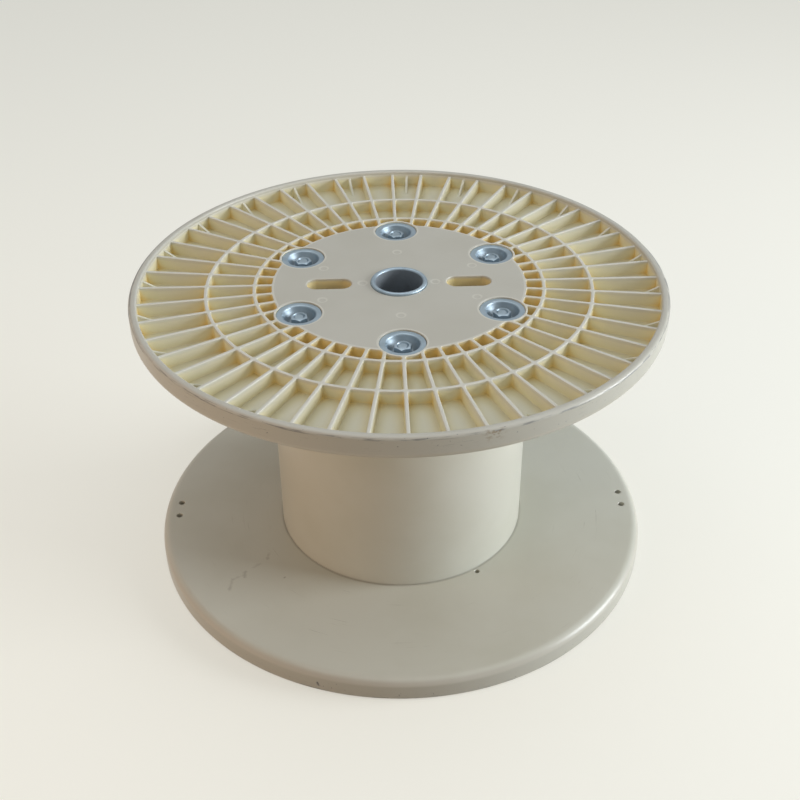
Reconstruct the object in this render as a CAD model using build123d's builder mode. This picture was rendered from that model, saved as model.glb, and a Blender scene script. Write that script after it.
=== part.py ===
from build123d import *
import os

os.makedirs("parts", exist_ok=True)

# Overall sizes of the spool, in millimetres
flange_diameter = 630
overall_height = 372
flange_thickness = 29
barrel_diameter = 315
barrel_wall = 8
bore_diameter = 56

# Flange moulding: the skin that the winding lies against, the rim wall and the ribs behind it
skin_thickness = 8
rim_wall = 9.5
rim_round = 10
rim_round_share = 0.293
rim_edge_chamfer = 2
rib_count = 48
rib_thickness = 4
rib_drop = 4.5
ring_wall = 4
ring_place_shares = (0.508, 0.145)
cell_draft_angle = 1
gusset_thickness = 3.5
gusset_foot = 27
gusset_height_share = 0.885

# Hub plate in the middle of the flange, with its two drive slots
hub_inset = 7.5
slot_spacing = 165
slot_length = 54
slot_width = 25
slot_sleeve_wall = 4
tube_sleeve_wall = 6

# Seat of the barrel in the flange
seat_depth = 4
seat_land = 5.5
seat_clearance = 0.2

# Holes for the wire's ends
wire_hole_diameter = 8
wire_hole_inset = 20.5
wire_hole_spacing = 26
start_hole_diameter = 6
start_hole_gap = 3.2
start_hole_angle = 56.25

# Dished washers that spread the load of the tie bolts
cup_rim_diameter = 52
cup_mouth_diameter = 38.5
cup_floor_diameter = 23
cup_depth = 12.4
cup_sheet = 2
cup_sink = 1.4
cup_clearance = 0.4
cup_ledge_thickness = 3
cup_bulge_wall = 2
cup_overhang = 2
cup_sides = 24

# Tie bolts and their nuts
bolt_count = 6
bolt_start_angle = 30
bolt_diameter = 12
bolt_hole_clearance = 0.5
bolt_head_height = 7.5
bolt_end_rise = 1
nut_height = 10
hex_across_flats = 18
thread_clearance = 0.1

# Steel tube that lines the bore
tube_wall = 5.5
tube_end_drop = 1.5
tube_outer_chamfer = 1.5
tube_inner_chamfer = 2
tube_clearance = 0.2

# Radii and heights that follow; heights are measured from the winding face of a flange
flange_radius = flange_diameter / 2
barrel_radius = barrel_diameter / 2
barrel_inner_radius = barrel_radius - barrel_wall
rim_inner_radius = flange_radius - rim_wall
tube_radius = bore_diameter / 2 + tube_wall
rib_top = flange_thickness - rib_drop
cell_depth = rib_top - skin_thickness
hub_radius = barrel_radius - hub_inset
hub_core_radius = barrel_inner_radius - seat_land
ring_radii = [hub_radius + share * (rim_inner_radius - hub_radius) for share in ring_place_shares]
cup_rim_face = rib_top - cup_sink
cup_ledge = cup_rim_face - cup_sheet
hub_underside = cup_ledge - cup_ledge_thickness
cup_floor_face = cup_rim_face - cup_depth
cup_rim_radius = cup_rim_diameter / 2
cup_mouth_radius = cup_mouth_diameter / 2
cup_floor_radius = cup_floor_diameter / 2
cup_pocket_radius = cup_rim_radius + cup_clearance
cup_bowl_gap = cup_sheet + cup_clearance
bolt_circle_radius = barrel_radius + cup_overhang - cup_rim_radius
bolt_hole_radius = bolt_diameter / 2 + bolt_hole_clearance
rib_pitch = 360 / rib_count

# Where the two flanges sit: the lower one is the same moulding turned over
flange_top_place = Location((0, 0, overall_height - flange_thickness))
flange_bottom_place = Location((0, 0, flange_thickness), (180, 0, 0))


# Flange moulding, with its winding face at height zero and its ribs upwards
with BuildPart() as flange:
    # Plain disc, the rim's round on the winding side drawn as two flats
    with BuildSketch(Plane.XZ):
        with BuildLine():
            Polyline(
                (0, 0),
                (flange_radius - rim_round, 0),
                (flange_radius - rim_round_share * rim_round, rim_round_share * rim_round),
                (flange_radius, rim_round),
                (flange_radius, flange_thickness - rim_edge_chamfer),
                (flange_radius - rim_edge_chamfer, flange_thickness),
                (0, flange_thickness),
                close=True,
            )
        make_face()
    revolve(axis=Axis.Z)

    # Inside the rim wall the ribs and the hub plate lie lower
    with BuildSketch(Plane.XY.offset(rib_top)):
        RegularPolygon(rim_inner_radius, rib_count)
    extrude(amount=rib_drop, mode=Mode.SUBTRACT)

    # From below: the barrel's seat, and the hollow under the hub plate with its sleeves left standing
    with BuildSketch():
        Circle(barrel_radius + seat_clearance)
    extrude(amount=seat_depth, mode=Mode.SUBTRACT)
    with BuildSketch(Plane.XY.offset(seat_depth)):
        Circle(hub_core_radius)
        Circle(tube_radius + tube_sleeve_wall, mode=Mode.SUBTRACT)
        with GridLocations(slot_spacing, 0, 2, 1):
            SlotOverall(
                slot_length + 2 * slot_sleeve_wall,
                slot_width + 2 * slot_sleeve_wall,
                mode=Mode.SUBTRACT,
            )
    extrude(amount=hub_underside - seat_depth, mode=Mode.SUBTRACT)

    # Stepped pockets that the dished washers drop into, their rims on a ledge
    for pocket_radius, pocket_floor in (
        (cup_pocket_radius, cup_ledge),
        (cup_mouth_radius + cup_bowl_gap, cup_floor_face - cup_bowl_gap),
    ):
        with BuildSketch(Plane.XY.offset(pocket_floor)):
            with PolarLocations(bolt_circle_radius, bolt_count, bolt_start_angle):
                RegularPolygon(pocket_radius, cup_sides)
        extrude(amount=rib_top - pocket_floor, mode=Mode.SUBTRACT)

    # Holes for the tube, the drive slots and the wire's ends
    with BuildSketch():
        Circle(tube_radius + tube_clearance)
        with GridLocations(slot_spacing, 0, 2, 1):
            SlotOverall(slot_length, slot_width)
    extrude(amount=flange_thickness, mode=Mode.SUBTRACT)
    with BuildSketch():
        with GridLocations(flange_diameter - 2 * wire_hole_inset, wire_hole_spacing, 2, 2):
            Circle(wire_hole_diameter / 2)
        with PolarLocations(barrel_radius + start_hole_gap + start_hole_diameter / 2, 1, start_hole_angle):
            Circle(start_hole_diameter / 2)
    extrude(amount=skin_thickness, mode=Mode.SUBTRACT)

    # Drafted cells between the ribs and the two ring walls, one flat of the ring to each cell;
    # the hub plate stays, with bulges round the washers' pockets
    with BuildSketch(Plane.XY.offset(rib_top)):
        RegularPolygon(rim_inner_radius, rib_count)
        for ring_radius in ring_radii:
            RegularPolygon(ring_radius, rib_count, mode=Mode.SUBTRACT)
            RegularPolygon(ring_radius - ring_wall, rib_count)
        Circle(hub_radius, mode=Mode.SUBTRACT)
        with PolarLocations(bolt_circle_radius, bolt_count, bolt_start_angle):
            Circle(cup_pocket_radius + cup_bulge_wall, mode=Mode.SUBTRACT)
        with PolarLocations(0, rib_count):
            Rectangle(flange_radius, rib_thickness, align=(Align.MIN, Align.CENTER), mode=Mode.SUBTRACT)
    extrude(amount=-cell_depth, taper=cell_draft_angle, mode=Mode.SUBTRACT)

    # Thin gussets that brace the rim in the middle of every second outer cell
    gusset_angles = [(cell + 1 / 2) * rib_pitch for cell in range(1, rib_count, 2)]
    with BuildSketch(*[Plane.XZ.rotated((0, 0, angle)) for angle in gusset_angles]):
        with BuildLine():
            Polyline(
                (rim_inner_radius + rim_wall / 2, skin_thickness / 2),
                (rim_inner_radius + rim_wall / 2, skin_thickness + gusset_height_share * cell_depth),
                (rim_inner_radius, skin_thickness + gusset_height_share * cell_depth),
                (rim_inner_radius - gusset_foot, skin_thickness),
                (rim_inner_radius - gusset_foot, skin_thickness / 2),
                close=True,
            )
        make_face()
    extrude(amount=gusset_thickness / 2, both=True)

with BuildPart() as flange_top:
    with Locations(flange_top_place):
        add(flange.part)
flange_top.part.label = "flange_top"
export_step(flange_top.part, "parts/flange_top.step")

with BuildPart() as flange_bottom:
    with Locations(flange_bottom_place):
        add(flange.part)
flange_bottom.part.label = "flange_bottom"
export_step(flange_bottom.part, "parts/flange_bottom.step")

# Barrel: a plain tube between the two seats
barrel_foot = flange_thickness - seat_depth
with BuildPart() as barrel:
    with BuildSketch(Plane.XY.offset(barrel_foot)):
        Circle(barrel_radius)
        Circle(barrel_inner_radius, mode=Mode.SUBTRACT)
    extrude(amount=overall_height - 2 * barrel_foot)
barrel.part.label = "barrel"
export_step(barrel.part, "parts/barrel.step")

# Steel tube through both hubs, its ends a little inside the rims
with BuildPart() as centre_tube:
    with BuildSketch(Plane.XY.offset(tube_end_drop)):
        Circle(tube_radius)
        Circle(bore_diameter / 2, mode=Mode.SUBTRACT)
    extrude(amount=overall_height - 2 * tube_end_drop)
    end_edges = centre_tube.edges().filter_by(GeomType.CIRCLE)
    chamfer(end_edges.filter_by(lambda edge: edge.radius > bore_diameter / 2), length=tube_outer_chamfer)
    bore_edges = centre_tube.edges().filter_by(GeomType.CIRCLE).group_by(SortBy.RADIUS)[0]
    chamfer(bore_edges, length=tube_inner_chamfer)
centre_tube.part.label = "centre_tube"
export_step(centre_tube.part, "parts/centre_tube.step")

# Inside of a dished washer's bowl: a prism whose foot is chamfered all round into a cone of flats
cup_slope = cup_mouth_radius - cup_floor_radius
with BuildPart() as cup_bowl:
    with BuildSketch(Plane.XY.offset(-cup_depth)):
        RegularPolygon(cup_mouth_radius, cup_sides)
    extrude(amount=cup_depth + cup_sheet)
    bowl_foot = cup_bowl.faces().sort_by(Axis.Z)[0]
    chamfer(bowl_foot.edges(), length=cup_slope, length2=cup_depth, reference=bowl_foot)

# Dished washer, its rim face at height zero and its bowl downwards
with BuildPart() as cup_washer:
    with BuildSketch(Plane.XY.offset(-cup_depth - cup_sheet)):
        RegularPolygon(cup_mouth_radius + cup_sheet, cup_sides)
    extrude(amount=cup_depth + cup_sheet)
    washer_foot = cup_washer.faces().sort_by(Axis.Z)[0]
    chamfer(washer_foot.edges(), length=cup_slope, length2=cup_depth, reference=washer_foot)
    with BuildSketch(Plane.XY.offset(-cup_sheet)):
        RegularPolygon(cup_rim_radius, cup_sides)
    extrude(amount=cup_sheet)
    add(cup_bowl.part, mode=Mode.SUBTRACT)
    Hole(bolt_hole_radius)

cup_seats = {
    "cup_washers_top": flange_top_place,
    "cup_washers_bottom": flange_bottom_place,
}
for name, flange_place in cup_seats.items():
    with BuildPart() as cup_washers:
        with Locations(flange_place * Location((0, 0, cup_rim_face))):
            with PolarLocations(bolt_circle_radius, bolt_count, bolt_start_angle):
                add(cup_washer.part)
    cup_washers.part.label = name
    export_step(cup_washers.part, f"parts/{name}.step")

# Tie bolts, head down in the lower washers, and nuts on their upper ends
bolt_seat = flange_thickness - cup_floor_face
nut_seat = overall_height - bolt_seat
bolt_places = PolarLocations(bolt_circle_radius, bolt_count, bolt_start_angle).locations
for number, place in enumerate(bolt_places, 1):
    with BuildPart() as tie_bolt:
        with BuildSketch(Plane(place).offset(bolt_seat - bolt_head_height)):
            RegularPolygon(hex_across_flats / 2, 6, major_radius=False)
        extrude(amount=bolt_head_height)
        with BuildSketch(Plane(place).offset(bolt_seat)):
            Circle(bolt_diameter / 2)
        extrude(amount=nut_seat + nut_height + bolt_end_rise - bolt_seat)
    tie_bolt.part.label = f"tie_bolt_{number}"
    export_step(tie_bolt.part, f"parts/tie_bolt_{number}.step")

with BuildPart() as tie_nuts:
    with BuildSketch(Plane.XY.offset(nut_seat)):
        with PolarLocations(bolt_circle_radius, bolt_count, bolt_start_angle):
            RegularPolygon(hex_across_flats / 2, 6, major_radius=False)
            Circle(bolt_diameter / 2 + thread_clearance, mode=Mode.SUBTRACT)
    extrude(amount=nut_height)
tie_nuts.part.label = "tie_nuts"
export_step(tie_nuts.part, "parts/tie_nuts.step")
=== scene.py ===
import math
import bmesh
import bpy
from mathutils import Matrix, Vector


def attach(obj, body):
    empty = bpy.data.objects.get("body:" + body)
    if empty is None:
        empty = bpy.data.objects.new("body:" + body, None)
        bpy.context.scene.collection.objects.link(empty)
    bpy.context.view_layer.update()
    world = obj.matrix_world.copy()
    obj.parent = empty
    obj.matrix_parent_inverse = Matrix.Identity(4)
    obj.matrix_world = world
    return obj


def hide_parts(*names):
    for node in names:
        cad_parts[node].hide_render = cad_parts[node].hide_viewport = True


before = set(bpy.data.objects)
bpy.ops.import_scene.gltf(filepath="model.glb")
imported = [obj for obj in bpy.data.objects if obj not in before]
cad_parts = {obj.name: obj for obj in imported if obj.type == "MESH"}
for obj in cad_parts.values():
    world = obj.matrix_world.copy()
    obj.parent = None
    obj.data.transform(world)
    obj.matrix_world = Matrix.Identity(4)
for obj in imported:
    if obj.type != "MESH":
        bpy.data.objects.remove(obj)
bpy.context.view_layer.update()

scene = bpy.context.scene
fullTurn = 2 * math.pi
mm = 0.001  # pieces are modelled in millimetres, as the CAD is, and finishes are placed in metres
spool = {"height": 372, "flange": 29}
print("frame loaded:", sorted(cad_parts))


class Wire:  # one socket in a node tree; sums on it add Math nodes
    def __init__(self, tree, socket=None):
        self.tree = tree
        self.socket = socket

    def node(self, kind, settings=None, sockets=None, out=0):
        made = self.tree.nodes.new(kind)
        for key, value in (settings or {}).items():
            setattr(made, key, value)
        for key, value in (sockets or {}).items():
            if isinstance(value, Wire):
                self.tree.links.new(value.socket, made.inputs[key])
            else:
                made.inputs[key].default_value = value
        return Wire(self.tree, made.outputs[out] if made.outputs else None)

    def math(self, operation, first, second=0.0):
        return self.node("ShaderNodeMath", {"operation": operation}, {0: first, 1: second})

    def vector(self, operation, first, second, out=0):
        return self.node("ShaderNodeVectorMath", {"operation": operation}, {0: first, 1: second}, out)

    def __add__(self, other):
        return self.math("ADD", self, other)

    def __radd__(self, other):
        return self.math("ADD", other, self)

    def __sub__(self, other):
        return self.math("SUBTRACT", self, other)

    def __rsub__(self, other):
        return self.math("SUBTRACT", other, self)

    def __mul__(self, other):
        return self.math("MULTIPLY", self, other)

    def __rmul__(self, other):
        return self.math("MULTIPLY", other, self)

    def __pow__(self, other):
        return self.math("POWER", self, other)

    def __gt__(self, other):
        return self.math("GREATER_THAN", self, other)

    def __lt__(self, other):
        return self.math("LESS_THAN", self, other)

    def __abs__(self):
        return self.math("ABSOLUTE", self)

    def rise(self, low, high):  # 0 at low, 1 at high, soft in between
        return self.node("ShaderNodeMapRange", {"interpolation_type": "SMOOTHSTEP"},
                         {"Value": self, "From Min": low, "From Max": high})

    def blend(self, under, over):  # colours, by this factor
        return self.node("ShaderNodeMix", {"data_type": "RGBA"}, {0: self, 6: under, 7: over}, 2)

    def parts(self):  # x, y and z of this vector
        return [self.node("ShaderNodeSeparateXYZ", sockets={0: self}, out=axis) for axis in "XYZ"]

    def noise(self, scale, detail):  # at this vector
        return self.node("ShaderNodeTexNoise", sockets={"Vector": self, "Scale": scale, "Detail": detail})


noiseMiddle = 0.5


def newSurface(name):
    material = bpy.data.materials.new(name)
    material.use_nodes = True
    material.node_tree.nodes.clear()
    return material, Wire(material.node_tree)


def spotOn(sheet):  # where on the spool a point lies
    place = sheet.node("ShaderNodeTexCoord", out="Object")
    x, y, z = place.parts()
    middle = spool["height"] / 2 * mm
    windingFace = middle - spool["flange"] * mm
    return {"place": place, "x": x, "y": y, "z": z,
            "radius": (x * x + y * y) ** 0.5,
            "height": abs(z - middle) - windingFace}  # above a flange's winding face


# Ivory plastic: semi-gloss moulding, scuffed along the rims, with painted light warming the cells and slots
# and paling the winding faces, painted shade on the outer band and at the barrel's joints, and painted
# highlights on the rib tops and edges
# Most pairs tell where a change starts and where it is complete
ivory = {
    "face": (0.590, 0.572, 0.503, 1), "cloud": (0.555, 0.535, 0.463, 1), "cloudFade": (0.4, 0.75),
    "winding": (0.640, 0.637, 0.562, 1), "windingCloud": (0.606, 0.600, 0.518, 1),
    "windingFade": (0.0010, 0.0040),
    "band": (0.525, 0.518, 0.455, 1), "bandOutside": 0.3120,
    "bandFoot": (0.0060, 0.0100), "bandHead": (0.0255, 0.0280),
    "ridge": (0.725, 0.705, 0.625, 1), "ridgeFade": (0.0190, 0.0238), "ridgeTop": 0.0247,
    "wall": (0.760, 0.730, 0.595, 1), "wallTilt": (0.2, 0.8),
    "cream": (0.870, 0.810, 0.570, 1), "creamFloor": (0.700, 0.640, 0.440, 1), "creamGlow": (0.05, 0.75),
    "amber": (0.890, 0.700, 0.300, 1), "amberFloor": (0.720, 0.560, 0.240, 1), "amberGlow": (0.70, 1.7),
    "slot": (0.950, 0.800, 0.440, 1), "slotAbove": 0.002, "slotTilt": (0.5, 0.9),
    "scuff": (0.085, 0.088, 0.105, 1),
    "stain": (0.260, 0.175, 0.085, 1),
    # dark colour for the grime of scratches and wire rubs, and for painted shade at the barrel's joints
    "grimeAndShade": (0.240, 0.215, 0.175, 1),
    "roughness": 0.30, "cloudRoughness": 0.10, "scuffRoughness": 0.2, "rubbedRoughness": 0.15,
    "refraction": 1.5, "grainStrength": 0.05, "grainDepth": 0.0004,
    "ribs": 48, "wallHalf": 0.002, "rings": (0.17055, 0.22699), "floor": 0.008, "hub": 0.150, "rim": 0.3055,
    "rowsFrom": 0.1495, "rowsTo": 0.3058, "cellAbove": 0.0074, "cellFade": (0.0190, 0.0243),
    "innerLift": 0.001, "innerGlow": 0.6, "glowReach": 0.009,
    "rimRadius": 0.315,
    "noises": {"cloud": (9.0, 3.0), "patch": (26.0, 4.0), "speck": (330.0, 2.0),  # scale, detail
               "fine": (420.0, 2.0), "wander": (170.0, 3.0)},
}
# painted highlights along the hub's and washer rounds' edges and on the mould's marks
paleEdges = {
    "cups": 6, "cupCircle": 0.1335, "cupEdge": 0.0277, "cupFade": (0.0005, 0.0015),
    "hubEdge": 0.1484, "hubFade": (0.0006, 0.0018), "above": 0.0225, "below": 0.0247, "strength": 0.75,
    "marks": [(0, 0.076), (0.0895, 0.038), (0.043, 0)], "markRing": 0.0050, "markFade": (0.0004, 0.0018),
    "markAbove": 0.0236, "markStrength": 0.6,
}
rimMarks = {  # streaks: how close along the rim, how close across it, detail
    "edge": {"outside": 0.3120, "foot": (0.0245, 0.0258), "head": (0.0266, 0.0280),
             "streaks": (55.0, 700.0, 4.0), "shows": (0.44, 0.64), "strength": 0.65},
    "farEdge": {"outside": 0.3108, "foot": (0.0246, 0.0262), "head": (0.0285, 0.0290),
                "behind": (-0.16, 0.02),
                "streaks": (30.0, 300.0, 3.0), "shows": (0.34, 0.52), "strength": 0.75},
    "band": {"outside": 0.3130, "foot": (0.006, 0.020), "below": 0.0286, "patches": (0.45, 0.6),
             "streaks": (38.0, 1500.0, 2.0), "shows": (0.66, 0.71), "strength": 0.7},
    "specks": {"shows": (0.71, 0.75), "strength": 0.75},
    "stain": {"outside": 0.3130, "foot": (0.012, 0.026), "above": 0.3,
              "place": -0.410, "spread": (0.003, 0.015),
              "streaks": (160.0, 260.0, 4.0), "shows": (0.46, 0.62), "strength": 0.75},
}
scratches = [  # from, to, half width, strength, colour
    ((-0.1054, -0.2969, 0.0140), (-0.1038, -0.2975, 0.0090), 0.0024, 0.95, "scuff"),
    ((-0.0122, -0.3148, 0.0090), (-0.0118, -0.3148, 0.0075), 0.0018, 0.60, "scuff"),
    ((-0.2163, -0.1570, 0.029), (-0.2140, -0.1390, 0.029), 0.0042, 0.32, "grimeAndShade"),
    ((-0.2140, -0.1390, 0.029), (-0.2020, -0.1330, 0.029), 0.0036, 0.20, "grimeAndShade"),
    ((-0.1999, -0.1350, 0.029), (-0.1990, -0.1265, 0.029), 0.0042, 0.36, "grimeAndShade"),
    ((-0.1900, -0.1190, 0.029), (-0.1800, -0.1110, 0.029), 0.0040, 0.20, "grimeAndShade"),
    ((-0.1726, -0.1030, 0.029), (-0.1716, -0.0930, 0.029), 0.0036, 0.28, "grimeAndShade"),
    ((-0.1497, -0.1386, 0.029), (-0.1490, -0.1376, 0.029), 0.0022, 0.60, "grimeAndShade"),
]
raggedness = {"reach": 2, "middle": 0.4}  # how far a scratch's sides stray, in half widths
# painted shade, patchy, where the barrel meets the flanges
jointShade = {"place": 0.1582, "high": (0.0004, 0.0030), "wide": (0.0006, 0.0026), "least": 0.10, "patchy": 0.4}
wireMarks = {"below": 0.0004, "inside": 0.162, "outside": 0.312, "patches": (0.5, 0.62),
             "streaks": (9.0, 1300.0, 1.0), "shows": (0.69, 0.74), "strength": 0.45}


def ivorySpot(sheet):
    spot = spotOn(sheet)
    spot["angle"] = sheet.math("ARCTAN2", spot["y"], spot["x"])
    spot["arc"] = spot["angle"] * ivory["rimRadius"]  # length along the rim
    facing = sheet.node("ShaderNodeNewGeometry", out="Normal")
    spot["upright"] = 1 - abs(facing.parts()[2])
    for name, (scale, detail) in ivory["noises"].items():
        spot[name] = spot["place"].noise(scale, detail)
    return spot


def streaked(sheet, spot, mark):  # drawn out along the rim and broken
    along, across, detail = mark["streaks"]
    vector = sheet.node("ShaderNodeCombineXYZ", sockets={
        0: spot["arc"] * along, 1: spot["height"] * across, 2: spot["radius"] * across})
    return vector.noise(1.0, detail).rise(*mark["shows"])


# Light thrown from wall to wall turns cream near a cell's corners, and amber right in them
def cellGlow(sheet, spot):
    radius = spot["radius"]
    toRib = sheet.math("PINGPONG", spot["angle"], math.pi / ivory["ribs"]) * radius - ivory["wallHalf"]
    toRing = sheet.math("MINIMUM", *[abs(radius - ring) - ivory["wallHalf"] for ring in ivory["rings"]])
    toEnd = sheet.math("MINIMUM", abs(radius - ivory["hub"]), abs(radius - ivory["rim"]))
    gaps = (toRib, sheet.math("MINIMUM", toRing, toEnd), spot["height"] - ivory["floor"])
    fall = -1 / ivory["glowReach"]
    near = [sheet.math("EXPONENT", sheet.math("MAXIMUM", gap, 0.0) * fall) for gap in gaps]
    return near[0] + near[1] + near[2] - 1


# the moulding's own tone with painted light, painted shade and painted highlights laid on
def mouldColourAndPaintedLight(sheet, spot):
    radius, height, upright = spot["radius"], spot["height"], spot["upright"]
    clouded = spot["cloud"].rise(*ivory["cloudFade"])
    colour = clouded.blend(ivory["face"], ivory["cloud"])
    # painted light: the winding faces, in shade between the flanges, get a paler copy of the ivory
    paintedLightWinding = clouded.blend(ivory["winding"], ivory["windingCloud"])
    colour = (1 - height.rise(*ivory["windingFade"])).blend(colour, paintedLightWinding)
    # painted shade: the outer band of the rims gets a darker copy of the ivory
    onBand = height.rise(*ivory["bandFoot"]) * (1 - height.rise(*ivory["bandHead"]))
    colour = ((radius > ivory["bandOutside"]) * onBand).blend(colour, ivory["band"])

    inRows = (radius > ivory["rowsFrom"]) * (radius < ivory["rowsTo"])
    # painted highlight: the rib tops and the upper walls of the ribs are paler
    ridge = inRows * height.rise(*ivory["ridgeFade"]) * (height < ivory["ridgeTop"])
    colour = ridge.blend(colour, ivory["ridge"])
    # painted light: down in the cells the walls and floors are paler, then cream to amber light thrown
    # between them, more in the inner row
    innerRow = radius < ivory["rings"][0]
    belowRidge = 1 - (height - ivory["innerLift"] * innerRow).rise(*ivory["cellFade"])
    inCell = inRows * (height > ivory["cellAbove"]) * belowRidge
    colour = inCell.blend(colour, ivory["wall"])
    glow = cellGlow(sheet, spot) + ivory["innerGlow"] * innerRow
    onWall = upright.rise(*ivory["wallTilt"])  # floors show less of the glow than walls
    for shade in ("cream", "amber"):
        thrown = onWall.blend(ivory[shade + "Floor"], ivory[shade])
        colour = (inCell * glow.rise(*ivory[shade + "Glow"])).blend(colour, thrown)

    # painted light: amber light thrown about inside the drive slots
    inSlot = (radius < ivory["rowsFrom"]) * (height > ivory["slotAbove"])
    inSlot = inSlot * (1 - height.rise(*ivory["cellFade"])) * upright.rise(*ivory["slotTilt"])
    return inSlot.blend(colour, ivory["slot"])


# Painted highlights: pale lines along the hub plate's edges and the rounds about the washers, and pale rings
# on the slopes of the mould's marks
def paintedEdgeHighlights(sheet, spot, colour):
    radius, height = spot["radius"], spot["height"]
    halfStep, circle = math.pi / paleEdges["cups"], paleEdges["cupCircle"]
    offCup = halfStep - sheet.math("PINGPONG", spot["angle"], halfStep)
    apart = radius * radius + circle ** 2 - 2 * circle * radius * sheet.math("COSINE", offCup)
    cupEdge = 1 - abs(apart ** 0.5 - paleEdges["cupEdge"]).rise(*paleEdges["cupFade"])
    hubEdge = 1 - abs(radius - paleEdges["hubEdge"]).rise(*paleEdges["hubFade"])
    atTop = (height > paleEdges["above"]) * (height < paleEdges["below"])
    # painted highlight lines along the hub's edges and about the washers
    highlightLines = sheet.math("MAXIMUM", cupEdge, hubEdge) * atTop
    colour = (highlightLines * paleEdges["strength"]).blend(colour, ivory["ridge"])
    for x, y in paleEdges["marks"]:
        away = ((abs(spot["x"]) - x) ** 2 + (abs(spot["y"]) - y) ** 2) ** 0.5
        ring = 1 - abs(away - paleEdges["markRing"]).rise(*paleEdges["markFade"])
        ring = ring * (height > paleEdges["markAbove"])
        colour = (ring * paleEdges["markStrength"]).blend(colour, ivory["ridge"])
    return colour


# A thin broken line on the outer edge of the rims, more of it at the back, scratches and specks on the band
def rimScuffs(sheet, spot):
    radius, height = spot["radius"], spot["height"]
    scuffs = []
    for mark in (rimMarks["edge"], rimMarks["farEdge"]):
        onEdge = (radius > mark["outside"]) * height.rise(*mark["foot"]) * (1 - height.rise(*mark["head"]))
        if "behind" in mark:
            onEdge = onEdge * spot["y"].rise(*mark["behind"])
        scuffs.append(onEdge * streaked(sheet, spot, mark) * mark["strength"])
    band, specks = rimMarks["band"], rimMarks["specks"]
    onBand = (radius > band["outside"]) * height.rise(*band["foot"]) * (height < band["below"])
    inPatches = spot["patch"].rise(*band["patches"])
    scuffs.append(onBand * streaked(sheet, spot, band) * inPatches * band["strength"])
    scuffs.append(onBand * spot["speck"].rise(*specks["shows"]) * specks["strength"])
    return scuffs


def fromLine(sheet, place, start, end):  # distance to the straight stretch between two points
    line = Vector(end) - Vector(start)
    fromStart = sheet.vector("SUBTRACT", place, start)
    share = sheet.vector("DOT_PRODUCT", fromStart, line / line.length_squared, "Value")
    share = sheet.math("MINIMUM", sheet.math("MAXIMUM", share, 0.0), 1.0)
    nearest = sheet.node("ShaderNodeVectorMath", {"operation": "SCALE"}, {0: line, "Scale": share})
    return sheet.vector("DISTANCE", fromStart, nearest, "Value")


def scratchedAndStained(sheet, spot, colour):
    for start, end, width, strength, dirt in scratches:
        stray = raggedness["reach"] * width * (spot["wander"] - raggedness["middle"])
        groove = 1 - (fromLine(sheet, spot["place"], start, end) + stray).rise(0.0, width)
        colour = (groove * strength).blend(colour, ivory[dirt])
    mark = rimMarks["stain"]
    nearby = 1 - abs(spot["arc"] - mark["place"]).rise(*mark["spread"])
    onRim = (spot["radius"] > mark["outside"]) * spot["height"].rise(*mark["foot"])
    onTop = spot["z"] > mark["above"]  # the upper flange alone
    stain = nearby * onRim * onTop * streaked(sheet, spot, mark) * mark["strength"]
    return stain.blend(colour, ivory["stain"])


def shadedAtJoint(spot, colour):  # painted shade, patchy, where the barrel meets the flanges
    low = 1 - abs(spot["height"]).rise(*jointShade["high"])
    close = 1 - abs(spot["radius"] - jointShade["place"]).rise(*jointShade["wide"])
    return (low * close * (jointShade["least"] + jointShade["patchy"] * spot["patch"])).blend(colour, ivory["grimeAndShade"])


def rubbedByWire(sheet, spot):  # fine turns of wire rubbed into the winding faces
    radius, height = spot["radius"], spot["height"]
    wound = (radius > wireMarks["inside"]) * (radius < wireMarks["outside"])
    onFace = wound * (height < wireMarks["below"])
    inPatches = spot["patch"].rise(*wireMarks["patches"])
    return onFace * streaked(sheet, spot, wireMarks) * inPatches * wireMarks["strength"]


def ivoryPlastic():
    material, sheet = newSurface("ivoryPlastic")
    spot = ivorySpot(sheet)
    colour = paintedEdgeHighlights(sheet, spot, mouldColourAndPaintedLight(sheet, spot))
    scuffs = rimScuffs(sheet, spot)
    for scuff in scuffs:
        colour = scuff.blend(colour, ivory["scuff"])
    colour = shadedAtJoint(spot, scratchedAndStained(sheet, spot, colour))
    rubbed = rubbedByWire(sheet, spot)
    colour = rubbed.blend(colour, ivory["grimeAndShade"])
    roughness = (ivory["roughness"] + ivory["cloudRoughness"] * (spot["cloud"] - noiseMiddle)
                 + ivory["scuffRoughness"] * scuffs[0] + ivory["rubbedRoughness"] * rubbed)
    bump = sheet.node("ShaderNodeBump", sockets={
        "Strength": ivory["grainStrength"], "Distance": ivory["grainDepth"], "Height": spot["fine"]})
    shader = sheet.node("ShaderNodeBsdfPrincipled", sockets={
        "Base Color": colour, "Roughness": roughness, "Normal": bump, "IOR": ivory["refraction"]})
    sheet.node("ShaderNodeOutputMaterial", sockets={"Surface": shader})
    return material


# Zinc plate: bluish, a little cloudy, dull inside the tube, with painted shade down in the bowls round the
# nuts
zinc = {
    "bright": (0.440, 0.530, 0.600, 1), "dull": (0.370, 0.450, 0.510, 1), "cloudFade": (0.35, 0.7),
    "shadedBowl": (0.250, 0.280, 0.300, 1), "grimeAndShade": 0.7, "bowlFade": (0.0125, 0.0190), "cupsFrom": 0.06,
    "inside": (0.380, 0.415, 0.450, 1), "bore": 0.0281,
    "roughness": 0.50, "cloudRoughness": 0.16, "insideRoughness": 0.20,
    "grainStrength": 0.08, "grainDepth": 0.0002,
    "noises": {"cloud": (60.0, 4.0), "fine": (900.0, 2.0)},  # scale, detail
}


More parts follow.
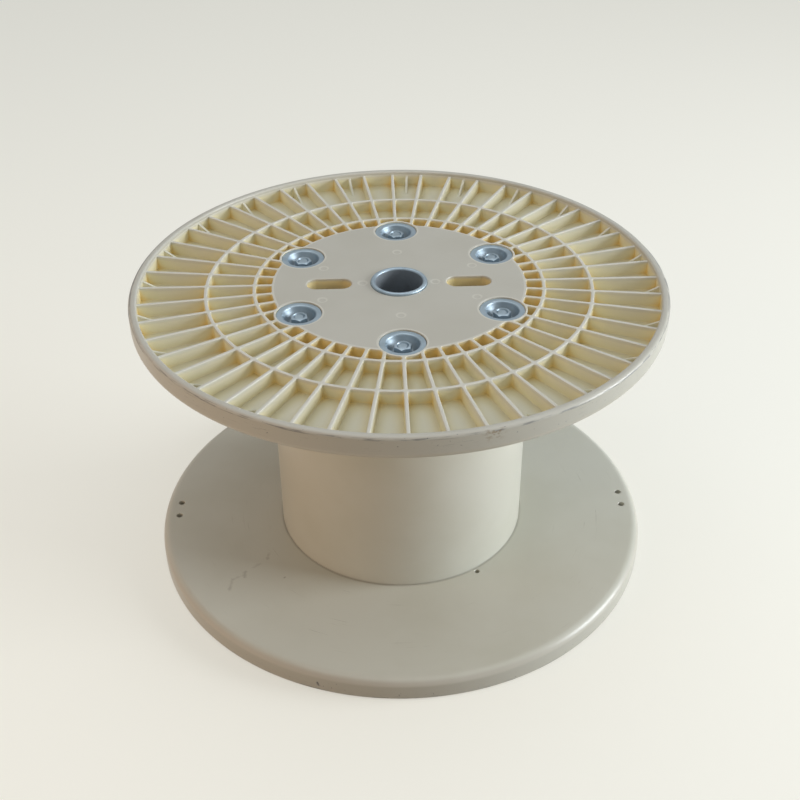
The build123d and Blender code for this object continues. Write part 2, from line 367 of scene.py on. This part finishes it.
def zincPlate():
    material, sheet = newSurface("zincPlate")
    spot = spotOn(sheet)
    cloud, fine = [spot["place"].noise(*zinc["noises"][name]) for name in ("cloud", "fine")]
    inBore = spot["radius"] < zinc["bore"]
    inBowl = (spot["radius"] > zinc["cupsFrom"]) * (1 - spot["height"].rise(*zinc["bowlFade"]))
    colour = cloud.rise(*zinc["cloudFade"]).blend(zinc["bright"], zinc["dull"])
    colour = inBore.blend(colour, zinc["inside"])
    # painted shade down in the bowls round the nuts
    colour = (inBowl * zinc["grimeAndShade"]).blend(colour, zinc["shadedBowl"])
    roughness = (zinc["roughness"] + zinc["cloudRoughness"] * (cloud - noiseMiddle)
                 + zinc["insideRoughness"] * inBore)
    bump = sheet.node("ShaderNodeBump", sockets={
        "Strength": zinc["grainStrength"], "Distance": zinc["grainDepth"], "Height": fine})
    shader = sheet.node("ShaderNodeBsdfPrincipled", sockets={
        "Base Color": colour, "Metallic": 1.0, "Roughness": roughness, "Normal": bump})
    sheet.node("ShaderNodeOutputMaterial", sockets={"Surface": shader})
    return material


ivoryFinish = ivoryPlastic()
zincFinish = zincPlate()
print("materials made")


ringSlack, levelSlack = 0.02, 0.001  # how far off a corner may lie and still count
sharpAngle = 46


def lathe(bm, outline, steps, closed=False):
    verts = [bm.verts.new((radius, 0, height)) for radius, height in outline]
    pairs = list(zip(verts, verts[1:])) + ([(verts[-1], verts[0])] if closed else [])
    edges = [bm.edges.new(pair) for pair in pairs]
    bmesh.ops.spin(bm, geom=verts + edges, cent=(0, 0, 0), axis=(0, 0, 1), angle=fullTurn,
                   steps=steps, use_merge=True)


def roundRing(bm, radius, height, offset, segments):  # rounds one turned edge
    def near(vert):
        aside, above = math.hypot(vert.co.x, vert.co.y) - radius, vert.co.z - height
        return abs(aside) < ringSlack and abs(above) < ringSlack
    ring = [edge for edge in bm.edges if near(edge.verts[0]) and near(edge.verts[1])]
    bmesh.ops.bevel(bm, geom=ring, offset=offset, segments=segments, profile=0.5, affect="EDGES", material=-1)


def lip(radius, segments):  # steps inwards and down over a rounded edge
    turns = [math.pi / 2 * step / segments for step in range(segments + 1)]
    return [(radius * (math.sin(b) - math.sin(a)), radius * (math.cos(a) - math.cos(b)))
            for a, b in zip(turns, turns[1:])]


def sink(bm, faces, steps):  # each step goes inwards and down by these lengths
    for inwards, down in steps:
        bmesh.ops.inset_individual(bm, faces=faces, thickness=inwards, depth=-down, use_even_offset=True)


def faceUp(faces, sign):
    for face in faces:
        face.normal_update()
        if face.normal.z * sign < 0:
            face.normal_flip()


def edgesOf(verts):
    return list({edge for vert in verts for edge in vert.link_edges})


def levelEdges(bm, height):  # open edges that lie at this height
    return [edge for edge in bm.edges if len(edge.link_faces) < 2
            and all(abs(vert.co.z - height) < levelSlack for vert in edge.verts)]


def openTo(bm, edges, height):  # draws open edges out to another height
    drawn = bmesh.ops.extrude_edge_only(bm, edges=edges)["geom"]
    for vert in drawn:
        if isinstance(vert, bmesh.types.BMVert):
            vert.co.z = height


def around(bm, geom, count):  # copies of a shape round the axis
    bmesh.ops.spin(bm, geom=geom, cent=(0, 0, 0), axis=(0, 0, 1), angle=fullTurn * (count - 1) / count,
                   steps=count - 1, use_duplicate=True)


def wholeOf(bm):
    return bm.verts[:] + bm.edges[:] + bm.faces[:]


def joined(*parts):
    whole = bmesh.new()
    for part in parts:
        mesh = bpy.data.meshes.new("part")
        part.to_mesh(mesh)
        part.free()
        whole.from_mesh(mesh)
        bpy.data.meshes.remove(mesh)
    return whole


def addPiece(bm, name, place, finish, slotName, *nodes):
    bmesh.ops.transform(bm, matrix=Matrix.Scale(mm, 4) @ place, verts=bm.verts)
    bmesh.ops.recalc_face_normals(bm, faces=bm.faces)
    mesh = bpy.data.meshes.new(name)
    bm.to_mesh(mesh)
    bm.free()
    mesh.shade_smooth()
    mesh.set_sharp_from_angle(angle=math.radians(sharpAngle))
    mesh.materials.append(finish)
    piece = bpy.data.objects.new(name, mesh)
    scene.collection.objects.link(piece)
    flat = piece.modifiers.new("evenShading", "WEIGHTED_NORMAL")
    flat.keep_sharp = True
    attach(piece, "root")
    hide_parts(*nodes)
    mesh.calc_loop_triangles()
    print(name, "triangles", len(mesh.loop_triangles))


# Flange moulding, winding face at height 0 and ribs upwards; a rounded edge is its size and its segments
flange = {
    "radius": 315, "skin": 8, "faceLap": 13, "floorLap": 4,
    "rimInside": 305.5, "rimDraft": 0.3,
    "windingRound": (10, 6), "bandEdge": (4.2, 5), "rimInnerEdge": (2.4, 4),
    "ribTop": 24.5, "ribs": 48, "ribHalf": 2, "ribLip": (0.8, 2), "footRound": (1.2, 3), "draft": 0.25,
    "rows": [(228.8, 308.0, 3), (172.4, 224.8, 3), (150, 168.4, 4)],  # inside, outside, steps of the arc
    "cellCorner": (2.6, 2), "cornerAngle": 38, "hidden": 311, "under": 7,
    "seat": 157.7, "turnSteps": 192,
    "wireHole": 4, "wireHolePlaces": [(294.5, 13), (294.5, -13), (-294.5, 13), (-294.5, -13)],
    "startHole": 3, "startHoleRadius": 163.7, "startHoleAngle": 56.25, "holeLip": (0.7, 2), "holeSides": 24,
    "gussetFoot": 27, "gussetHeight": 14.6, "gussetThickness": 3.5, "gussets": 24, "gussetAngle": 11.25,
    "gussetInRim": 1.5, "gussetInFloor": 1, "gussetEdge": (0.8, 2),
}
hub = {
    "cupCircle": 133.5, "cups": 6, "cupStart": 30, "bulge": 28.8, "pocket": 26.3, "pocketLip": 0.7,
    "slotPlace": 82.5, "slotReach": 14.5, "slotEnd": 11.9, "slotLip": 1.6,
    "tubeHole": 33.7, "tubeLip": 0.5, "holeSides": 48, "lipSegments": 3,
    "markRadius": 5.5, "markDepth": 0.5, "markSlope": 1.4, "markSides": 32,
    "marks": [(0, 76), (0, -76), (89.5, 38), (89.5, -38), (-89.5, 38), (-89.5, -38), (43, 0), (-43, 0)],
}
cupPlaces = [Matrix.Rotation(math.radians(hub["cupStart"] + 360 / hub["cups"] * cup), 4, "Z")
             @ Vector((hub["cupCircle"], 0, 0)) for cup in range(hub["cups"])]


def rimAndSkin():
    bm = bmesh.new()
    outside, top, skin = flange["radius"], spool["flange"], flange["skin"]
    inside = flange["rimInside"]
    foot = inside - flange["rimDraft"]
    lathe(bm, [(outside - flange["faceLap"], 0), (outside, 0), (outside, top), (inside, top),
               (foot, skin), (foot - flange["floorLap"], skin)], flange["turnSteps"])
    roundRing(bm, outside, 0, *flange["windingRound"])
    roundRing(bm, outside, top, *flange["bandEdge"])
    roundRing(bm, inside, top, *flange["rimInnerEdge"])
    roundRing(bm, foot, skin, *flange["footRound"])
    seat = bmesh.ops.create_circle(bm, segments=flange["turnSteps"], radius=flange["seat"])["verts"]
    openTo(bm, edgesOf(seat), skin)

    # Holes for the wire's ends, eased where the wire goes in
    angle = math.radians(flange["startHoleAngle"])
    start = (flange["startHoleRadius"] * math.cos(angle), flange["startHoleRadius"] * math.sin(angle))
    places = [(place, flange["wireHole"]) for place in flange["wireHolePlaces"]]
    places.append((start, flange["startHole"]))
    eased, segments = flange["holeLip"]
    holes = []
    for (x, y), radius in places:
        ring = bmesh.ops.create_circle(bm, cap_ends=True, segments=flange["holeSides"], radius=radius + eased,
                                       matrix=Matrix.Translation((x, y, 0)))["verts"]
        holes.append(ring[0].link_faces[0])
    faceUp(holes, -1)
    sink(bm, holes, lip(eased, segments) + [(0, skin - eased)])
    bmesh.ops.delete(bm, geom=holes, context="FACES_ONLY")
    for height in (0, skin):
        bmesh.ops.triangle_fill(bm, use_beauty=True, edges=levelEdges(bm, height))
    return bm


def cellOutlines(bm, inner, outer, arcs):
    half, top = flange["ribHalf"], flange["ribTop"]
    ends = [bm.verts.new((inner - half, 0, top)), bm.verts.new((outer + half, 0, top))]
    start = bm.edges.new(ends)
    before = set(bm.faces)
    bmesh.ops.spin(bm, geom=ends + [start], cent=(0, 0, 0), axis=(0, 0, 1),
                   angle=fullTurn / flange["ribs"], steps=arcs)
    strip = [face for face in bm.faces if face not in before]
    cell = bmesh.ops.dissolve_faces(bm, faces=strip, use_verts=False)["region"]
    frameFaces = bmesh.ops.inset_individual(bm, faces=cell, thickness=half - flange["ribLip"][0],
                                            use_even_offset=True)["faces"]
    bmesh.ops.delete(bm, geom=frameFaces, context="FACES")
    around(bm, cell + cell[0].edges[:] + cell[0].verts[:], flange["ribs"])


def clearOfBulges(bm):  # the cells nearest the hub stop at the rounds about the washers
    bulge = hub["bulge"] - flange["ribLip"][0]
    for vert in bm.verts:
        for cup in cupPlaces:
            flat = Vector((vert.co.x, vert.co.y, 0))
            if (flat - cup).length < bulge:
                out = flat.normalized()
                along = cup.dot(out)
                reach = along + math.sqrt(bulge ** 2 - cup.length_squared + along ** 2)
                vert.co.xy = (out * reach).xy


def isCorner(vert):
    first, second = [(edge.other_vert(vert).co - vert.co) for edge in vert.link_edges]
    return first.angle(-second) > math.radians(flange["cornerAngle"])


def ribsAndHub():
    bm = bmesh.new()
    top, skin, under = flange["ribTop"], flange["skin"], flange["under"]
    for inner, outer, arcs in flange["rows"]:
        cellOutlines(bm, inner, outer, arcs)
    clearOfBulges(bm)
    corners = [vert for vert in bm.verts if isCorner(vert)]
    offset, segments = flange["cellCorner"]
    bmesh.ops.bevel(bm, geom=corners, offset=offset, segments=segments, profile=0.5,
                    affect="VERTICES", material=-1)
    cells = bm.faces[:]
    faceUp(cells, 1)
    edge, foot = lip(*flange["ribLip"]), lip(*flange["footRound"])[::-1]
    wall = top - skin - flange["ribLip"][0] - flange["footRound"][0]
    sink(bm, cells, edge + [(flange["draft"], wall)] + foot)

    # Holes in the hub plate: washer pockets, drive slots, tube
    openings = cells[:]

    def hole(radius, lipRadius, x, y, stretch=0):
        ring = bmesh.ops.create_circle(bm, cap_ends=True, segments=hub["holeSides"],
                                       radius=radius + lipRadius)["verts"]
        bmesh.ops.rotate(bm, verts=ring, matrix=Matrix.Rotation(fullTurn / hub["holeSides"] / 2, 3, "Z"))
        for vert in ring:
            vert.co += Vector((x + math.copysign(stretch, vert.co.x), y, top))
        face = ring[0].link_faces[0]
        faceUp([face], 1)
        sink(bm, [face], lip(lipRadius, hub["lipSegments"]) + [(0, top - skin - lipRadius)])
        openings.append(face)

    for cup in cupPlaces:
        hole(hub["pocket"], hub["pocketLip"], cup.x, cup.y)
    for side in (-1, 1):
        hole(hub["slotEnd"], hub["slotLip"], side * hub["slotPlace"], 0, hub["slotReach"])
    hole(hub["tubeHole"], hub["tubeLip"], 0, 0)
    bmesh.ops.delete(bm, geom=openings, context="FACES_ONLY")
    openTo(bm, levelEdges(bm, skin), under)

    # Faint round marks that the mould's pins leave
    marks = []
    for x, y in hub["marks"]:
        ring = bmesh.ops.create_circle(bm, cap_ends=True, segments=hub["markSides"], radius=hub["markRadius"],
                                       matrix=Matrix.Translation((x, y, top)))["verts"]
        marks.append(ring[0].link_faces[0])
    faceUp(marks, 1)
    sink(bm, marks, [(hub["markSlope"], hub["markDepth"])])

    outer = bmesh.ops.create_circle(bm, segments=flange["turnSteps"], radius=flange["hidden"],
                                    matrix=Matrix.Translation((0, 0, top)))["verts"]
    openTo(bm, edgesOf(outer), under)
    for height in (top, under):
        bmesh.ops.triangle_fill(bm, use_beauty=True, edges=levelEdges(bm, height))
    return bm


def rimGussets():
    bm = bmesh.new()
    inside, skin, thickness = flange["rimInside"], flange["skin"], flange["gussetThickness"]
    high, tip = skin + flange["gussetHeight"], inside - flange["gussetFoot"]
    back, low = inside + flange["gussetInRim"], skin - flange["gussetInFloor"]
    outline = [(back, low), (back, high), (inside, high), (tip, skin), (tip, low)]
    face = bm.faces.new([bm.verts.new((x, -thickness / 2, z)) for x, z in outline])
    drawn = bmesh.ops.extrude_face_region(bm, geom=[face])["geom"]
    bmesh.ops.translate(bm, verts=[item for item in drawn if isinstance(item, bmesh.types.BMVert)],
                        vec=(0, thickness, 0))

    def slopes(edge):
        reach = edge.verts[0].co - edge.verts[1].co
        return abs(reach.z) > flange["gussetHeight"] / 2 and abs(reach.x) > flange["gussetFoot"] / 2
    offset, segments = flange["gussetEdge"]
    bmesh.ops.bevel(bm, geom=[edge for edge in bm.edges if slopes(edge)], offset=offset, segments=segments,
                    profile=0.5, affect="EDGES", material=-1)
    bmesh.ops.rotate(bm, verts=bm.verts, matrix=Matrix.Rotation(math.radians(flange["gussetAngle"]), 3, "Z"))
    around(bm, wholeOf(bm), flange["gussets"])
    return bm


topPlace = Matrix.Translation((0, 0, spool["height"] - spool["flange"]))
bottomPlace = Matrix.Translation((0, 0, spool["flange"])) @ Matrix.Rotation(math.pi, 4, "X")
for name, place, node in (("flangeTop", topPlace, "flange_top"),
                          ("flangeBottom", bottomPlace, "flange_bottom")):
    moulding = joined(rimAndSkin(), ribsAndHub(), rimGussets())
    addPiece(moulding, name, place, ivoryFinish, "ivory_plastic", node)
print("flanges made")


# Barrel and centre tube
barrel = {"outside": 157.5, "inside": 149.5, "foot": 25, "head": 347, "edge": (0.6, 2), "steps": 192}
tube = {"outside": 33.5, "inside": 28, "foot": 1.5, "head": 370.5,
        "outerEdge": (2.2, 4), "innerEdge": (2.6, 4), "steps": 96}


def pipe(size):
    bm = bmesh.new()
    lathe(bm, [(size["inside"], size["foot"]), (size["outside"], size["foot"]),
               (size["outside"], size["head"]), (size["inside"], size["head"])], size["steps"], True)
    return bm


def barrelTube():
    bm = pipe(barrel)
    for height in (barrel["foot"], barrel["head"]):
        roundRing(bm, barrel["outside"], height, *barrel["edge"])
    return bm


def centreTube():
    bm = pipe(tube)
    for height in (tube["foot"], tube["head"]):
        roundRing(bm, tube["outside"], height, *tube["outerEdge"])
        roundRing(bm, tube["inside"], height, *tube["innerEdge"])
    return bm


atRest = Matrix.Identity(4)
addPiece(barrelTube(), "barrelTube", atRest, ivoryFinish, "ivory_plastic", "barrel")
addPiece(centreTube(), "centreTube", atRest, zincFinish, "zinc_steel", "centre_tube")
print("barrel and tube made")


# Dished washers, rim face at height 0
cup = {"rim": 26, "mouth": 19.25, "mouthRound": (1.6, 4), "rimRound": (0.7, 2), "bowlCentre": 3.41,
       "bowlTurn": 43.92, "bowlSteps": 9, "sheet": 1.9, "hole": 6.5, "rimFace": 23.1, "steps": 64}


def cupWashers():
    bm = bmesh.new()
    centre = Vector((0, 0, cup["bowlCentre"]))
    first = bm.verts.new((cup["mouth"], 0, 0))
    bmesh.ops.spin(bm, geom=[first], cent=centre, axis=(0, 1, 0), angle=math.radians(cup["bowlTurn"]),
                   steps=cup["bowlSteps"])
    chain = sorted(bm.verts, key=lambda vert: -vert.co.x)
    rim = bm.verts.new((cup["rim"], 0, 0))
    hole = bm.verts.new((cup["hole"], 0, chain[-1].co.z))
    bm.edges.new((rim, chain[0]))
    bm.edges.new((chain[-1], hole))
    bmesh.ops.spin(bm, geom=bm.verts[:] + bm.edges[:], cent=(0, 0, 0), axis=(0, 0, 1), angle=fullTurn,
                   steps=cup["steps"], use_merge=True)
    bmesh.ops.recalc_face_normals(bm, faces=bm.faces)
    roundRing(bm, cup["mouth"], 0, *cup["mouthRound"])
    if sum(face.normal.z for face in bm.faces) < 0:
        bmesh.ops.reverse_faces(bm, faces=bm.faces)
    bmesh.ops.solidify(bm, geom=bm.faces[:], thickness=cup["sheet"])
    roundRing(bm, cup["rim"], 0, *cup["rimRound"])
    bmesh.ops.translate(bm, verts=bm.verts, vec=(hub["cupCircle"], 0, cup["rimFace"]))
    bmesh.ops.rotate(bm, verts=bm.verts, matrix=Matrix.Rotation(math.radians(hub["cupStart"]), 3, "Z"))
    around(bm, wholeOf(bm), hub["cups"])
    return bm


addPiece(cupWashers(), "cupWashersTop", topPlace, zincFinish, "zinc_steel", "cup_washers_top")
addPiece(cupWashers(), "cupWashersBottom", bottomPlace, zincFinish, "zinc_steel", "cup_washers_bottom")
print("washers made")


# Tie bolts, heads down, and their nuts
bolt = {"radius": 6, "sides": 32, "headFoot": 10.8, "headTop": 18.3, "shankInHead": 1, "end": 363.1,
        "endChamfer": 1.3}
nut = {"foot": 353.7, "height": 10, "thread": 5.2, "mouth": 6.9, "mouthDepth": 2.5,
       "turns": [12, 41, 25, 7, 50, 33]}
hexagon = {"sides": 6, "acrossFlats": 18, "sideCuts": 5, "faceShare": 0.95, "cone": 30}  # of heads and nuts


def hexBlank(bm, foot, head):  # hexagon whose upper corners are turned off to a cone
    flatRadius = hexagon["acrossFlats"] / 2
    face = flatRadius * hexagon["faceShare"]
    corner = flatRadius / math.cos(math.pi / hexagon["sides"])
    ring = bmesh.ops.create_circle(bm, segments=hexagon["sides"], radius=corner,
                                   matrix=Matrix.Translation((0, 0, foot)))["verts"]
    bmesh.ops.subdivide_edges(bm, edges=edgesOf(ring), cuts=hexagon["sideCuts"])
    openTo(bm, levelEdges(bm, foot), head)
    middle = (foot + head) / 2
    for vert in bm.verts:
        if vert.co.z > middle:
            vert.co.z -= (vert.co.xy.length - face) * math.tan(math.radians(hexagon["cone"]))
    upper = [edge for edge in bm.edges if min(vert.co.z for vert in edge.verts) > middle]
    return upper, face


def drawRing(bm, edges, radius, height):  # carries an open ring on to a round one
    drawn = bmesh.ops.extrude_edge_only(bm, edges=edges)["geom"]
    ring = {item for item in drawn if isinstance(item, bmesh.types.BMVert)}
    for vert in ring:
        vert.co.xy = vert.co.xy.normalized() * radius
        vert.co.z = height
    return [item for item in drawn if isinstance(item, bmesh.types.BMEdge) and ring.issuperset(item.verts)]


def tieNut(turn):
    bm = bmesh.new()
    foot, head = nut["foot"], nut["foot"] + nut["height"]
    upper, face = hexBlank(bm, foot, head)
    upper = drawRing(bm, upper, face, head)
    upper = drawRing(bm, upper, nut["mouth"], head)
    upper = drawRing(bm, upper, nut["thread"], head - nut["mouthDepth"])
    lower = drawRing(bm, levelEdges(bm, foot), nut["thread"], foot)
    bmesh.ops.bridge_loops(bm, edges=upper + lower)
    bmesh.ops.rotate(bm, verts=bm.verts, matrix=Matrix.Rotation(math.radians(turn), 3, "Z"))
    return bm


def tieBolt():
    bm = bmesh.new()
    foot, head = bolt["headFoot"], bolt["headTop"]
    upper, face = hexBlank(bm, foot, head)
    bmesh.ops.contextual_create(bm, geom=drawRing(bm, upper, face, head))
    bmesh.ops.contextual_create(bm, geom=levelEdges(bm, foot))
    for vert in bm.verts:  # turned over, cone downwards
        vert.co.z = foot + head - vert.co.z
    radius, end, start = bolt["radius"], bolt["end"], head - bolt["shankInHead"]
    shank = bmesh.ops.create_circle(bm, segments=bolt["sides"], radius=radius,
                                    matrix=Matrix.Translation((0, 0, start)))["verts"]
    ring = drawRing(bm, edgesOf(shank), radius, end - bolt["endChamfer"])
    ring = drawRing(bm, ring, radius - bolt["endChamfer"], end)
    bmesh.ops.contextual_create(bm, geom=ring)
    bmesh.ops.contextual_create(bm, geom=levelEdges(bm, start))
    return bm


def atCups(parts):
    for part, place in zip(parts, cupPlaces):
        bmesh.ops.translate(part, verts=part.verts, vec=place)
    return joined(*parts)


addPiece(atCups([tieBolt() for place in cupPlaces]), "tieBolts", atRest, zincFinish, "zinc_steel",
         *["tie_bolt_%d" % number for number in range(1, hub["cups"] + 1)])
addPiece(atCups([tieNut(turn) for turn in nut["turns"]]), "tieNuts", atRest, zincFinish, "zinc_steel",
         "tie_nuts")
print("bolts and nuts made")


# Floor, light and camera
stage = {"seen": (0.480, 0.474, 0.440, 1), "thrown": (0.430, 0.350, 0.260, 1),
         "pale": (0.480, 0.474, 0.430, 1), "unlit": (0, 0, 0, 1), "roughness": 0.7, "size": 12}
lamps = [
    {"name": "window", "place": (3.00, -0.35, 0.95), "size": 1.5, "power": 90, "colour": (0.93, 0.97, 1.0),
     "mirrored": True},
    {"name": "ceiling", "place": (0.0, 0.3, 2.5), "size": 2.6, "power": 20, "colour": (0.92, 0.97, 1.0),
     "mirrored": True},
    {"name": "bounce", "place": (-1.9, -1.0, 0.80), "size": 2.0, "power": 17, "colour": (1.0, 0.64, 0.36),
     "mirrored": False},
]
lampAim = Vector((0, 0, 0.2))
room = {"light": (0.225, 0.238, 0.247, 1), "seen": (0.440, 0.442, 0.435, 1)}
eye = {"lens": 53.69, "sensor": 36, "distance": 1506, "elevation": 34.81, "turn": -1.52, "roll": -0.49,
       "aim": 197.9}


def lookedAt(sheet):  # 1 where the camera sees it, by mirror or glass too
    camera, mirror, glass = [sheet.node("ShaderNodeLightPath", out=ray) for ray in (
        "Is Camera Ray", "Is Glossy Ray", "Is Transmission Ray")]
    return camera + mirror + glass > 0.5


def makeFloor():
    bm = bmesh.new()
    bmesh.ops.create_grid(bm, x_segments=1, y_segments=1, size=stage["size"])
    mesh = bpy.data.meshes.new("floor")
    bm.to_mesh(mesh)
    bm.free()
    material, sheet = newSurface("paleFloor")
    seen = lookedAt(sheet)  # pale where it is looked at, duller in the light that it throws back
    shader = sheet.node("ShaderNodeBsdfPrincipled", sockets={
        "Base Color": seen.blend(stage["thrown"], stage["seen"]), "Roughness": stage["roughness"],
        "Emission Color": seen.blend(stage["unlit"], stage["pale"]), "Emission Strength": 1.0})
    sheet.node("ShaderNodeOutputMaterial", sockets={"Surface": shader})
    mesh.materials.append(material)
    floor = bpy.data.objects.new("floor", mesh)
    scene.collection.objects.link(floor)


def lightUp():
    for lamp in lamps:
        light = bpy.data.lights.new(lamp["name"], "AREA")
        light.size = lamp["size"]
        light.energy = lamp["power"]
        light.color = lamp["colour"]
        holder = bpy.data.objects.new(lamp["name"], light)
        holder.location = lamp["place"]
        holder.rotation_euler = (lampAim - holder.location).to_track_quat("-Z", "Y").to_euler()
        holder.visible_glossy = lamp["mirrored"]
        scene.collection.objects.link(holder)
    scene.world = bpy.data.worlds.new("room")
    scene.world.use_nodes = True
    scene.world.node_tree.nodes.clear()
    sheet = Wire(scene.world.node_tree)
    sky = sheet.node("ShaderNodeBackground", sockets={0: lookedAt(sheet).blend(room["light"], room["seen"])})
    sheet.node("ShaderNodeOutputWorld", sockets={"Surface": sky})


def setCamera():
    lens = bpy.data.cameras.new("camera")
    lens.lens = eye["lens"]
    lens.sensor_width = eye["sensor"]
    camera = bpy.data.objects.new("camera", lens)
    scene.collection.objects.link(camera)
    camera.matrix_world = (Matrix.Rotation(math.radians(eye["turn"]), 4, "Z")
                           @ Matrix.Translation((0, 0, eye["aim"] * mm))
                           @ Matrix.Rotation(math.radians(90 - eye["elevation"]), 4, "X")
                           @ Matrix.Translation((0, 0, eye["distance"] * mm))
                           @ Matrix.Rotation(math.radians(eye["roll"]), 4, "Z"))
    scene.camera = camera


makeFloor()
lightUp()
setCamera()
scene.view_settings.view_transform = "Standard"
print("floor, lamps and camera set")
